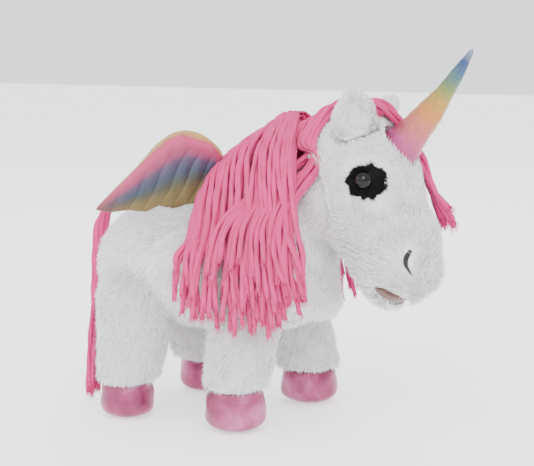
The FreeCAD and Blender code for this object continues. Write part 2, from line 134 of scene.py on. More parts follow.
# one closed soft form round the given CAD nodes and balls
def formOf(nodes, name, material, voxel, smooth, balls=(), inset=0.0):
    copies = []
    for centre, radius in balls:
        bpy.ops.mesh.primitive_uv_sphere_add(segments=48, ring_count=32, radius=radius, location=centre)
        setActive(bpy.context.active_object)
        bpy.ops.object.transform_apply(location=True)
        copies.append(bpy.context.active_object)
    for node in nodes:
        copy = bpy.data.objects.new(name, frame["nodes"][node].data.copy())
        bpy.context.scene.collection.objects.link(copy)
        copies.append(copy)
    bpy.ops.object.select_all(action="DESELECT")
    for copy in copies:
        copy.select_set(True)
    bpy.context.view_layer.objects.active = copies[0]
    if len(copies) > 1:
        bpy.ops.object.join()
    obj = bpy.context.view_layer.objects.active
    applyModifier(obj, "REMESH", mode="VOXEL", voxel_size=voxel * MM)
    if smooth:
        applyModifier(obj, "SMOOTH", factor=0.5, iterations=smooth)
    if inset:
        normals = np.zeros(len(obj.data.vertices) * 3)
        obj.data.vertices.foreach_get("normal", normals)
        setCoords(obj, coords(obj) - normals.reshape(-1, 3) * inset * MM)
    return named(obj, name, material)


# smooth noise of about -1 to 1 that varies over size metres
def blobNoise(points, size, seed):
    local = np.random.default_rng(seed)
    total = np.zeros(len(points))
    for wave in range(7):
        direction = local.normal(size=3)
        direction /= np.linalg.norm(direction)
        scale = 2 * math.pi / (size * local.uniform(0.7, 1.6))
        total += np.sin(points @ direction * scale + local.uniform(0, 6.28))
    return total / 3.2


def unit(vectors):
    return vectors / np.maximum(np.linalg.norm(vectors, axis=-1, keepdims=True), 1e-9)


# random points and smooth normals over a mesh, even by area
def surfacePoints(obj, count, seed):
    local = np.random.default_rng(seed)
    mesh = obj.data
    mesh.calc_loop_triangles()
    triangles = np.zeros(len(mesh.loop_triangles) * 3, np.int32)
    mesh.loop_triangles.foreach_get("vertices", triangles)
    triangles = triangles.reshape(-1, 3)
    normals = np.zeros(len(mesh.vertices) * 3)
    mesh.vertices.foreach_get("normal", normals)
    normals = normals.reshape(-1, 3)
    corners = coords(obj)[triangles]
    areas = np.linalg.norm(np.cross(corners[:, 1] - corners[:, 0], corners[:, 2] - corners[:, 0]), axis=1)
    chosen = local.choice(len(triangles), count, p=areas / areas.sum())
    a, b = local.random(count), local.random(count)
    over = a + b > 1
    a[over], b[over] = 1 - a[over], 1 - b[over]
    weights = np.stack([1 - a - b, a, b], 1)[:, :, None]
    points = (corners[chosen] * weights).sum(1)
    return points, unit((normals[triangles[chosen]] * weights).sum(1))


# short flat hairs: each is a bent strip that narrows to a point, leaning with the comb direction
def furBlades(name, points, normals, comb, lengths, material, seed, lean=0.55, width=None, clump=7.0):
    local = np.random.default_rng(seed)
    count = len(points)
    width = (width or FUR["width"]) * MM
    flow = comb - normals * (comb * normals).sum(1, keepdims=True)
    flow = unit(flow + 1e-6)
    swirl = np.stack([blobNoise(points, clump * 2.2 * MM, seed + k) for k in (1, 2, 3)], 1)
    jitter = local.normal(size=(count, 3)) * 0.22
    direction = unit(normals * (1 - lean * 0.6) + flow * lean + swirl * 0.3 + jitter)
    lengths = lengths * local.uniform(0.7, 1.12, count)
    side = unit(np.cross(direction, local.normal(size=(count, 3)) * 0.6 + normals))
    tip = points + direction * lengths[:, None] * MM + flow * (lengths * 0.22 * MM)[:, None]
    tip -= normals * (lengths * 0.12 * MM)[:, None]
    middle = points + direction * (lengths * 0.52 * MM)[:, None]
    root = points - normals * 0.0006
    vertices = np.stack([root - side * width / 2, root + side * width / 2,
                         middle + side * width * 0.42, middle - side * width * 0.42, tip], 1).reshape(-1, 3)
    base = np.arange(count)[:, None] * 5
    faces = np.concatenate([base + np.array([corners]) for corners in ((0, 1, 2), (0, 2, 3), (3, 2, 4))])
    return rawMesh(name, vertices, faces, material)


# even points along a smooth curve through the given ones
def smoothPath(points, step):
    points = np.asarray(points, float)
    padded = np.vstack([2 * points[0] - points[1], points, 2 * points[-1] - points[-2]])
    fine = []
    for i in range(1, len(padded) - 2):
        p0, p1, p2, p3 = padded[i - 1:i + 3]
        t = np.linspace(0, 1, 24, endpoint=False)[:, None]
        fine.append(0.5 * (2 * p1 + (p2 - p0) * t + (2 * p0 - 5 * p1 + 4 * p2 - p3) * t ** 2
                           + (3 * p1 - p0 - 3 * p2 + p3) * t ** 3))
    fine = np.vstack(fine + [points[-1:]])
    travelled = np.concatenate([[0], np.cumsum(np.linalg.norm(np.diff(fine, axis=0), axis=1))])
    count = max(4, int(travelled[-1] / step))
    places = np.linspace(0, travelled[-1], count)
    return np.stack([np.interp(places, travelled, fine[:, k]) for k in range(3)], 1)


# twisted yarn along a path: a lobed section that turns, opening into loose plies at the end
def strandMesh(path, radius, phase):
    count, sides = len(path), YARN["sides"]
    tangents = unit(np.gradient(path, axis=0))
    up = np.zeros((count, 3))
    up[0] = unit(np.cross(tangents[0], (0.3, 0.9, 0.2)))
    for i in range(1, count):
        up[i] = unit(up[i - 1] - tangents[i] * (up[i - 1] @ tangents[i]))
    across = np.cross(tangents, up)
    places = np.arange(count) * YARN["step"]
    angles = 2 * math.pi * np.arange(sides) / sides
    turn = 2 * math.pi * places / YARN["twist"] + phase
    opening = np.clip((places - (places[-1] - YARN["loose"])) / YARN["loose"], 0, 1)
    depth = YARN["depth"] + 0.25 * opening[:, None]
    lobed = 1 + depth * np.cos(YARN["lobes"] * (angles[None, :] - turn[:, None]))
    size = radius * (1 - 0.25 * opening) * np.clip((places + 1.5) / 3.0, 0.5, 1)
    ring = lobed * size[:, None]
    vertices = path[:, None] + ring[:, :, None] * (np.cos(angles)[None, :, None] * up[:, None]
                                                  + np.sin(angles)[None, :, None] * across[:, None])
    faces = []
    k = np.arange(sides)
    n = (k + 1) % sides
    for i in range(count - 1):
        faces.append(np.stack([i * sides + k, (i + 1) * sides + k, (i + 1) * sides + n, i * sides + n], 1))
    faces = np.vstack(faces)[:, ::-1]
    lid = (count - 1) * sides + k
    return vertices.reshape(-1, 3), [*faces, lid[::-1], k]


# loose fibres at the end of a strand
def frayHairs(path, radius, seed):
    local = np.random.default_rng(seed)
    end, heading = path[-1], unit(path[-1] - path[-3])
    vertices, faces = [], []
    for i in range(YARN["fibres"]):
        spread = unit(heading + local.normal(size=3) * 0.24)
        side = unit(np.cross(spread, local.normal(size=3))) * 0.4 * MM
        start = end - heading * 5 * MM + local.normal(size=3) * radius * 0.45
        tip = start + spread * local.uniform(6, 11) * MM
        vertices += [start - side, start + side, tip + side * 0.5, tip - side * 0.5]
        faces.append(np.arange(4) + 4 * i)
    return np.array(vertices), faces


# many strands as one piece
def bundle(name, paths, material, seed, thickness=1.0):
    local = np.random.default_rng(seed)
    vertices, faces, start = [], [], 0
    for path in paths:
        radius = YARN["radius"] * MM * local.uniform(0.9, 1.1) * thickness
        path = smoothPath(path, YARN["step"] * MM)
        for part in (strandMesh(path, radius, local.uniform(0, 6.28)),
                     frayHairs(path, radius, int(local.integers(1e6)))):
            vertices.append(part[0])
            faces += [face + start for face in part[1]]
            start += len(part[0])
    return rawMesh(name, np.vstack(vertices), faces, material)


# a node socket with ordinary arithmetic
class Sock:
    def __init__(self, tree, socket):
        self.tree = tree
        self.socket = socket

    def node(self, kind, inputs=(), output=0, **values):
        node = self.tree.nodes.new(kind)
        for key, value in values.items():
            setattr(node, key, value)
        for key, value in dict(inputs).items():
            if isinstance(value, Sock):
                self.tree.links.new(value.socket, node.inputs[key])
            else:
                node.inputs[key].default_value = value
        return Sock(self.tree, node.outputs[output])

    def maths(self, operation, a, b=0.0):
        return self.node("ShaderNodeMath", {0: a, 1: b}, operation=operation)

    def __add__(self, other):
        return self.maths("ADD", self, other)

    __radd__ = __add__

    def __mul__(self, other):
        return self.maths("MULTIPLY", self, other)

    __rmul__ = __mul__

    def __sub__(self, other):
        return self.maths("SUBTRACT", self, other)

    def __rsub__(self, other):
        return self.maths("SUBTRACT", other, self)

    def __pow__(self, other):
        return self.maths("POWER", self, other)


def ramp(source, stops):
    out = source.node("ShaderNodeValToRGB", {"Fac": source})
    elements = out.socket.node.color_ramp.elements
    while len(elements) > 1:
        elements.remove(elements[-1])
    elements[0].position, elements[0].color = stops[0][0], (*stops[0][1], 1)
    for place, color in stops[1:]:
        elements.new(place).color = (*color, 1)
    return out


def newMaterial(name, color, roughness, **constants):
    material = bpy.data.materials.new(name)
    material.use_nodes = True
    tree = material.node_tree
    shader = tree.nodes["Principled BSDF"]
    shader.inputs["Base Color"].default_value = (*color, 1)
    shader.inputs["Roughness"].default_value = roughness
    for key, value in constants.items():
        shader.inputs[key.replace("_", " ")].default_value = value
    objectPlace = tree.nodes.new("ShaderNodeTexCoord").outputs["Object"]
    return material, shader, Sock(tree, objectPlace)


def bumped(shader, place, height, strength, distance):
    out = place.node("ShaderNodeBump", {"Height": height, "Strength": strength, "Distance": distance})
    place.tree.links.new(out.socket, shader.inputs["Normal"])


def noise(place, scale, detail=3.0):
    return place.node("ShaderNodeTexNoise", {"Vector": place, "Scale": scale, "Detail": detail})


furMaterial, furShader, place = newMaterial("plushPile", (0.88, 0.87, 0.865), 0.85, Sheen_Weight=0.35,
                                            Sheen_Roughness=0.5, Specular_IOR_Level=0.15)
skinMaterial, skinShader, place = newMaterial("plushBacking", (0.80, 0.79, 0.785), 0.95,
                                              Specular_IOR_Level=0.1)
liningMaterial, shader, place = newMaterial("earNap", (0.66, 0.645, 0.64), 0.9, Sheen_Weight=0.3)
bumped(shader, place, noise(place, 900.0), 0.4, 0.0006)
blackPile, shader, place = newMaterial("blackPile", (0.008, 0.008, 0.008), 0.9, Specular_IOR_Level=0.12)
stitchMaterial, shader, place = newMaterial("blackStitch", (0.012, 0.012, 0.013), 0.42)
suedeMaterial, shader, place = newMaterial("suede", (0.24, 0.12, 0.085), 0.9, Sheen_Weight=0.4)
grain = noise(place, 260.0, 6.0)
shade = ramp(grain, [(0.3, (0.07, 0.03, 0.02)), (0.7, (0.17, 0.08, 0.055))])
place.tree.links.new(shade.socket, shader.inputs["Base Color"])
bumped(shader, place, grain, 0.5, 0.0008)
eyeMaterial, shader, place = newMaterial("eyePlastic", (0.002, 0.002, 0.002), 0.04, Specular_IOR_Level=0.28)
rimMaterial, shader, place = newMaterial("eyeRim", (0.05, 0.05, 0.05), 0.35)
fillMaterial, shader, place = newMaterial("fibreFill", (0.85, 0.85, 0.84), 0.95)
tapeMaterial, shader, place = newMaterial("tape", (0.55, 0.06, 0.18), 0.9)

yarnMaterial, shader, place = newMaterial("yarn", (0.62, 0.045, 0.195), 0.85, Sheen_Weight=0.12,
                                          Sheen_Roughness=0.4, Specular_IOR_Level=0.2)
bumped(shader, place, noise(place, 1400.0), 0.5, 0.0005)

hoofMaterial, shader, place = newMaterial("hoofFoil", (0.50, 0.10, 0.24), 0.36, Metallic=0.55,
                                          Coat_Weight=0.25, Coat_Roughness=0.3)
cloud = noise(place, 38.0, 4.0)
shade = ramp(cloud, [(0.3, (0.20, 0.022, 0.075)), (0.52, (0.34, 0.050, 0.14)), (0.72, (0.50, 0.13, 0.28))])
place.tree.links.new(shade.socket, shader.inputs["Base Color"])
weave = noise(place, 800.0, 2.0)
bumped(shader, place, weave * 0.4 + cloud * 0.6, 0.35, 0.0012)
place.tree.links.new((weave * 0.3 + 0.22).socket, shader.inputs["Roughness"])


def attributeOf(place, name):
    return place.node("ShaderNodeAttribute", output=2, attribute_name=name)


hornMaterial, shader, place = newMaterial("hornFoil", (0.6, 0.4, 0.3), 0.38, Metallic=0.45, Coat_Weight=0.3,
                                          Coat_Roughness=0.25)
rise = attributeOf(place, "rise")
cloud = noise(place, 60.0, 5.0)
crackle = place.node("ShaderNodeTexVoronoi", {"Vector": place, "Scale": 330.0}, feature="DISTANCE_TO_EDGE")
hornStops = [(0.0, (0.24, 0.028, 0.11)), (0.14, (0.38, 0.045, 0.17)), (0.28, (0.44, 0.10, 0.10)),
             (0.42, (0.46, 0.17, 0.035)), (0.57, (0.33, 0.22, 0.03)), (0.68, (0.13, 0.20, 0.05)),
             (0.80, (0.03, 0.09, 0.16)), (0.90, (0.025, 0.05, 0.16)), (1.0, (0.20, 0.24, 0.30))]
shade = ramp(rise + (cloud - 0.5) * 0.12, hornStops)
place.tree.links.new(shade.socket, shader.inputs["Base Color"])
place.tree.links.new((cloud * 0.25 + 0.24).socket, shader.inputs["Roughness"])
bumped(shader, place, crackle ** 0.4 * 0.5 + cloud, 0.28, 0.0009)

wingMaterial, shader, place = newMaterial("wingSatin", (0.5, 0.4, 0.4), 0.4, Metallic=0.25, Anisotropic=0.5,
                                          Sheen_Weight=0.2)
drop = attributeOf(place, "drop")
cloud = noise(place, 30.0, 4.0)
wingStops = [(0.0, (0.44, 0.26, 0.08)), (0.035, (0.40, 0.14, 0.12)), (0.06, (0.48, 0.035, 0.13)),
             (0.24, (0.30, 0.035, 0.11)), (0.34, (0.07, 0.045, 0.10)), (0.48, (0.025, 0.045, 0.08)),
             (0.60, (0.045, 0.05, 0.035)),
             (0.74, (0.15, 0.11, 0.025)), (0.90, (0.19, 0.13, 0.035)), (1.0, (0.13, 0.07, 0.03))]
shade = ramp(drop + (cloud - 0.5) * 0.07, wingStops)
tipTone = shade.node("ShaderNodeMix", {0: attributeOf(place, "tip"), 6: shade, 7: (0.17, 0.045, 0.035, 1)}, 2,
                     data_type="RGBA")
place.tree.links.new(tipTone.socket, shader.inputs["Base Color"])
threads = noise(place, 1500.0, 1.0)
bumped(shader, place, threads * 0.3 + cloud, 0.25, 0.0008)
floorMaterial, shader, place = newMaterial("studioFloor", (0.93, 0.93, 0.93), 0.7,
                                           Emission_Color=(1, 1, 1, 1), Emission_Strength=0.9)
print("materials made")

# places taken from the frame
joints = {joint["name"]: joint for joint in record["behaviour"]["joints"]}
headLow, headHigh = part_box("head_skin")
eyes = {side: sum(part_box("eye_" + side), Vector()) / 2 for side in ("right", "left")}
patches = {side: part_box("eye_patch_" + side) for side in ("right", "left")}
nostrils = {side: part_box("nostril_" + side) for side in ("right", "left")}
mouthLow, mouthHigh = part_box("mouth_lining")
hornLow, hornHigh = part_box("horn_cover")
neckJoint = np.array(joints["head_nod"]["pos_m"])


def inEllipse(points, centre, halfX, halfZ, wobble=0.0, seed=0):
    dx = (points[:, 0] - centre[0]) / halfX
    dz = (points[:, 2] - centre[2]) / halfZ
    angle = np.arctan2(dz, dx)
    local = np.random.default_rng(seed)
    edge = 1 + wobble * sum(np.sin(angle * k + local.uniform(0, 6.28)) / k ** 0.5 for k in (3, 5, 8, 13))
    return np.hypot(dx, dz) < edge


# body
hips = []
for leg in LEGS:
    hip = np.array(joints["leg_swing_" + leg]["pos_m"])
    hips.append((hip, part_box("leg_skin_" + leg)[1].z - hip[2]))
torso = formOf(["torso_skin", "torso_stuffing"], "torsoPlush", skinMaterial, 3.0, 9,
               [(hip, size * 0.985) for hip, size in hips], 3.0)
points, normals = surfacePoints(torso, FUR["torso"], 11)
hidden = np.zeros(len(points), bool)
for hip, size in hips:
    hidden |= (np.linalg.norm(points - hip, axis=1) < size + 0.0005) & (points[:, 2] < hip[2] - 0.01)
points, normals = points[~hidden], normals[~hidden]
comb = np.tile([-0.5, 0.0, -0.85], (len(points), 1))
torsoFur = furBlades("torsoFur", points, normals, comb, np.full(len(points), FUR["length"]), furMaterial, 21)
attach(torso, "torso")
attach(torsoFur, "torso")
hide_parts("torso_skin", "torso_stuffing")
print("body made")

for index, leg in enumerate(LEGS):
    hip = np.array(joints["leg_swing_" + leg]["pos_m"])
    obj = formOf(["leg_skin_" + leg, "leg_stuffing_" + leg], "legPlush_" + leg, skinMaterial, 2.2, 3, (), 4.0)
    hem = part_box("leg_skin_" + leg)[0].z
    hoofLow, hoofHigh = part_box("hoof_cover_" + leg)
    v = coords(obj)
    middle = np.array((hoofLow + hoofHigh) / 2)
    inHoof = v[:, 2] < hem - 0.001
    v[inHoof, :2] = middle[:2] + (v[inHoof, :2] - middle[:2]) * 0.86
    v[:, 2] = np.maximum(v[:, 2], 0.005)
    setCoords(obj, v)
    points, normals = surfacePoints(obj, FUR["leg"], 31 + index)
    keep = points[:, 2] > hem - 0.0005
    keep &= (normals[:, 2] > -0.8) | (points[:, 2] < hem + 0.004)
    points, normals = points[keep], normals[keep]
    lengths = np.where(points[:, 2] < hem + 0.006, FUR["length"] * 0.75, FUR["length"])
    fur = furBlades("legFur_" + leg, points, normals, np.tile([-0.15, 0, -1.0], (len(points), 1)), lengths,
                    furMaterial, 41 + index)
    start, end = hip + (0, 0, 0.026), hip - (0, 0, 0.03)
    for piece in (obj, fur):
        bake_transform(piece)
    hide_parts("leg_skin_" + leg, "leg_stuffing_" + leg)
print("legs made")

# hooves
for index, leg in enumerate(LEGS):
    low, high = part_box("hoof_cover_" + leg)
    bpy.ops.mesh.primitive_uv_sphere_add(segments=72, ring_count=40, radius=1.0)
    hoof = bpy.context.active_object
    v = coords(hoof)
    centre = np.array((low + high) / 2)
    radius = (high.x - low.x) / 2
    height = high.z - low.z
    angle = np.arctan2(v[:, 1], v[:, 0])
    level = np.clip(v[:, 2], -1, 1)
    lower = (1 - np.clip(np.abs((level + 0.1) / 0.9), 0, 1) ** 3.0) ** 0.42
    upper = 1 - 0.13 * (np.abs(level + 0.1) / 1.1) ** 2
    wide = np.where(level < -0.1, lower, upper)
    wide = np.where(level > 0.93, np.clip((1 - level) / 0.07, 0, 1) * wide, wide)
    seamPlace = np.arctan2(np.sin(angle - math.radians(-58)), np.cos(angle - math.radians(-58)))
    seam = np.exp(-(seamPlace / 0.045) ** 2)
    beside = np.exp(-((np.abs(seamPlace) - 0.16) / 0.09) ** 2)
    puckers = np.sin(level * 21 + index) * np.exp(-(np.abs(seamPlace) / 0.22) ** 2)
    r = radius * (0.985 * wide - 0.055 * seam + 0.012 * beside + 0.008 * puckers)
    r += 0.0006 * blobNoise(v * 0.03, 0.022, 60 + index) * wide
    z = low.z + height * (0.5 + 0.5 * np.sign(level) * np.abs(level) ** 0.95)
    z = np.maximum(z, 0.0003)
    setCoords(hoof, np.stack([centre[0] + np.cos(angle) * r, centre[1] + np.sin(angle) * r, z], 1))
    named(hoof, "hoof_" + leg, hoofMaterial)
    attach(hoof, "leg_" + leg)
    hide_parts("hoof_cover_" + leg)
print("hooves made")

# head
head = formOf(["head_skin", "head_stuffing", "eye_patch_right", "eye_patch_left"], "headPlush",
              skinMaterial, 2.5, 4, (), 1.5)
points, normals = surfacePoints(head, FUR["head"], 12)
relative = points - neckJoint
socket = (np.linalg.norm(relative, axis=1) < 0.051) | (points[:, 0] < headLow.x + 0.002)
mouthTilt, hornAngle = 0.506, 52.5
mouthShift = np.array([0.004, 0.0, 0.004])
mouthTurn = np.array([[math.cos(mouthTilt), 0, math.sin(mouthTilt)], [0, 1, 0],
                      [-math.sin(mouthTilt), 0, math.cos(mouthTilt)]])
mouthMiddle = np.array((mouthLow + mouthHigh) / 2) + mouthShift
mouth = (points[:, 0] > mouthLow.x - 0.003) & (points[:, 0] < mouthHigh.x + 0.008)
mouth &= inEllipse(points @ mouthTurn, mouthMiddle @ mouthTurn, 0.0175, 0.0066)
lean = math.radians(hornAngle)
hornWay = np.array([math.cos(lean), 0, math.sin(lean)])
hornTip = np.array([hornHigh.x, 0, hornHigh.z])
fromTip = points - hornTip
hornFoot = np.linalg.norm(fromTip - np.outer(fromTip @ hornWay, hornWay), axis=1) < 0.0215
hornFoot &= fromTip @ hornWay > -0.15
black, bare = {}, mouth | socket | hornFoot
for side, sign in (("right", -1), ("left", 1)):
    low, high = patches[side]
    centre = np.array((low + high) / 2)
    onSide = points[:, 1] * sign > 0
    half = ((high.x - low.x) / 2, (high.z - low.z) / 2)
    black[side] = onSide & inEllipse(points, centre, half[0] * 0.86, half[1] * 0.86, 0.07, 5)
    eyeDistance = np.linalg.norm(points - np.array(eyes[side]), axis=1)
    bare = bare | (onSide & (eyeDistance < 0.0088))
    low, high = nostrils[side]
    bare = bare | (onSide & inEllipse(points, np.array((low + high) / 2), 0.0042, 0.0135))
white = ~(bare | black["right"] | black["left"])
muzzle = np.array([headHigh.x, 0, headLow.z])
back = points - muzzle
comb = unit(np.stack([back[:, 0], back[:, 1] * 0.6, back[:, 2]], 1))
lengths = FUR["face"] + 2.6 * np.clip((0.235 - points[:, 2]) / 0.06, 0, 1)
for side, sign in (("right", -1), ("left", 1)):
    low, high = nostrils[side]
    near = np.linalg.norm(points - np.array((low + high) / 2), axis=1)
    lengths = np.where(near < 0.016, lengths * 0.55, lengths)
    low, high = patches[side]
    near = np.linalg.norm(points - np.array((low + high) / 2), axis=1)
    lengths = np.where(near < 0.025, lengths * 0.62, lengths)
headFur = furBlades("headFur", points[white], normals[white], comb[white], lengths[white], furMaterial, 22,
                    clump=9.0)
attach(head, "head")
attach(headFur, "head")
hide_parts("head_skin", "head_stuffing")
print("head made")

bpy.ops.mesh.primitive_uv_sphere_add(segments=32, ring_count=16, radius=1.0)
core = named(bpy.context.active_object, "neckFill", fillMaterial)
coreLow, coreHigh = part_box("neck_stuffing")
setCoords(core, coords(core) * (coreHigh.x - coreLow.x) / 2 * 0.99 + np.array((coreLow + coreHigh) / 2))
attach(core, "neck")
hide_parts("neck_stuffing")

# eyes and the black round them
for side, sign in (("right", -1), ("left", 1)):
    low, high = patches[side]
    base = formOf(["eye_patch_" + side], "eyePatch_" + side, blackPile, 1.2, 2)
    v = coords(base)
    spot = np.array((low + high) / 2)
    v = spot + (v - spot) * (0.88, 1.0, 0.88)
    setCoords(base, v + np.array([0.1, sign, 0]) * 0.0012)
    dense, denseNormals = surfacePoints(base, 15000, 70)
    keep = (denseNormals[:, 1] * sign > 0.3) & (np.linalg.norm(dense - np.array(eyes[side]), axis=1) > 0.0085)
    dense, denseNormals = dense[keep], denseNormals[keep]
    around = unit(dense - np.array(eyes[side]))
    fur = furBlades("eyePatchFur_" + side, dense, denseNormals, around + np.array([-0.6, 0, -0.5]),
                    3.6 + 2.4 * blobNoise(dense, 0.006, 72), blackPile, 71, lean=0.85, width=0.5)
    look = unit(np.array([0.22, 0.97 * sign, 0.1]))
    shape = bpy.data.objects["eye_" + side]
    shapeCoords = np.array([shape.matrix_world @ p.co for p in shape.data.vertices])
    reach = shapeCoords @ look
    front = reach.max()
    cap = shapeCoords[reach > front - 0.003].mean(0)
    centre = cap + look * (front - cap @ look - 0.0084)
    bpy.ops.mesh.primitive_uv_sphere_add(segments=64, ring_count=40, radius=0.0084)
    eye = named(bpy.context.active_object, "eye_piece_" + side, eyeMaterial)
    setCoords(eye, coords(eye) + centre + look * 0.0030)
    bpy.ops.mesh.primitive_torus_add(major_segments=64, minor_segments=12, major_radius=0.0078,
                                     minor_radius=0.0004)
    rim = named(bpy.context.active_object, "eyeRim_" + side, rimMaterial)
    turn = Vector((0, 0, 1)).rotation_difference(Vector(look)).to_matrix()
    setCoords(rim, np.array([turn @ Vector(p) for p in coords(rim)]) + centre + look * 0.0044)
    for piece, nodes, slot in ((base, ["eye_patch_" + side], "patch"), (fur, [], "patch"),
                               (eye, ["eye_" + side], "eye"), (rim, [], "eye")):
        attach(piece, "head")
        if nodes:
            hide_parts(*nodes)

    # nostril: satin stitches side by side
    low, high = nostrils[side]
    length = (high.z - low.z) * 0.84
    vertices, faces = [], []
    for row in range(26):
        share = row / 25
        z = high.z - 0.0025 - length * share
        bow = math.sin(math.pi * share)
        centre = np.array([(low.x + high.x) / 2 + 0.0016 - 0.0042 * bow, 0, z])
        half = 0.0012 + 0.0013 * math.sin(math.pi * (0.1 + 0.8 * (1 - share)))
        spot, normal = head.ray_cast(Vector((centre[0], sign * 0.2, z)), Vector((0, -sign, 0)))[1:3]
        spot, normal = np.array(spot), np.array(normal)
        across = unit(np.cross(normal, (0.25, 0, 1)))
        along = np.cross(across, normal)
        start = len(vertices)
        for step in range(7):
            t = step / 6 * 2 - 1
            lift = 0.0014 * math.sqrt(max(0, 1 - t * t)) + 0.0008
            middle = spot + across * half * t + normal * lift + along * t * 0.0007
            for k in range(6):
                angle = k * math.pi / 3
                vertices.append(middle + (along * math.cos(angle) + normal * math.sin(angle)) * 0.00052)
        for step in range(6):
            for k in range(6):
                n = (k + 1) % 6
                faces.append(start + step * 6 + np.array([k, n, 6 + n, 6 + k]))
    stitches = rawMesh("nostrilStitch_" + side, vertices, faces, stitchMaterial)
    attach(stitches, "head")
    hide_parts("nostril_" + side)

lining = formOf(["mouth_lining"], "mouthSuede", suedeMaterial, 1.2, 4)
v = coords(lining)
grow = np.sign(v[:, 1]) * 0.0062 * (np.abs(v[:, 1]) > 0.012)
middle = np.array((mouthLow + mouthHigh) / 2)
v = middle + (v - middle) * (1.0, 1.03, 1.0)
v[:, 1] += grow
v += mouthShift
setCoords(lining, v)
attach(lining, "head")
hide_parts("mouth_lining")
print("face made")

# ears
for index, side in enumerate(("right", "left")):
    sign = -1 if side == "right" else 1
    ear = formOf(["ear_outer_" + side], "earPlush_" + side, skinMaterial, 0.9, 3)
    inner = formOf(["ear_lining_" + side], "earLining_" + side, liningMaterial, 0.7, 4)
    points, normals = surfacePoints(ear, FUR["ear"] * 2, 80 + index)
    root = np.array(joints["ear_fold_" + side]["pos_m"])
    axis = np.array(joints["ear_fold_" + side]["axis"])
    hollowWay = unit(np.array([math.cos(math.radians(45)), sign * math.sin(math.radians(45)), 0.0]))
    up = unit(np.cross(hollowWay, axis)) * (1 if np.cross(hollowWay, axis)[2] > 0 else -1)
    height = (points - root) @ up
    across = (points - root) @ axis
    hollow = (normals @ hollowWay > 0.1) & (np.hypot(across / 0.0075, (height - 0.015) / 0.0125) < 1)
    keep = ~hollow & (height > -0.005)
    points, normals, height, across = points[keep], normals[keep], height[keep], across[keep]
    peak = np.clip((height - 0.022) / 0.014, 0, 1) * np.exp(-(across / 0.009) ** 2)
    comb = np.tile(up, (len(points), 1)) - np.outer(across / 0.02, axis) * 0.7
    fur = furBlades("earFur_" + side, points, normals, comb, 6.0 + 6.0 * peak, furMaterial, 83 + index,
                    lean=0.75, width=0.65)
    for piece, nodes, slot in ((ear, ["ear_outer_" + side], "plush"),
                               (inner, ["ear_lining_" + side], "ear_lining"), (fur, [], "plush")):
        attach(piece, "ear_" + side)
        if nodes:
            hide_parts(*nodes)
print("ears made")

# horn
bpy.ops.mesh.primitive_grid_add(x_subdivisions=HORN["around"], y_subdivisions=HORN["rings"], size=2.0)
horn = bpy.context.active_object
v = coords(horn)
share = (v[:, 1] + 1) / 2
angle = v[:, 0] * math.pi
axis = hornWay
under = np.array([math.sin(lean), 0, -math.cos(lean)])
length = 0.126
foot = hornTip - axis * (length + 0.0006) + under * 0.0016
radius = 0.0208 + (0.0022 - 0.0208) * share ** 0.95 + 0.0035 * np.exp(-share / 0.07)
radius = np.where(share > 0.965, radius * np.sqrt(np.clip((1 - share) / 0.035, 0, 1)), radius)
seam = np.exp(-((np.abs(angle) - math.pi) / 0.09) ** 2)
folds = 0.00035 * np.sin(share * 60 + 2 * np.sin(angle)) * (1 - share)
folds = folds + 0.0004 * np.sin(share * 17 + angle * 2)
radius = radius - 0.0009 * seam + folds * (share < 0.95)
bow = 0.004 * np.sin(math.pi * share)
middle = foot + axis * (length * share)[:, None] + under * bow[:, None]
v = middle + under * (np.cos(angle) * radius)[:, None]
v = v + np.array([0, 1, 0]) * (np.sin(angle) * radius)[:, None]
setCoords(horn, v)
attribute = horn.data.attributes.new("rise", "FLOAT", "POINT")
attribute.data.foreach_set("value", share.astype(np.float32))
setActive(horn)
bpy.ops.object.mode_set(mode="EDIT")
bpy.ops.mesh.select_all(action="SELECT")
bpy.ops.mesh.remove_doubles(threshold=0.00002)
bpy.ops.mesh.normals_make_consistent(inside=False)
bpy.ops.object.mode_set(mode="OBJECT")
named(horn, "hornFoil", hornMaterial)
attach(horn, "head")
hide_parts("horn_cover", "horn_stuffing")
print("horn made")

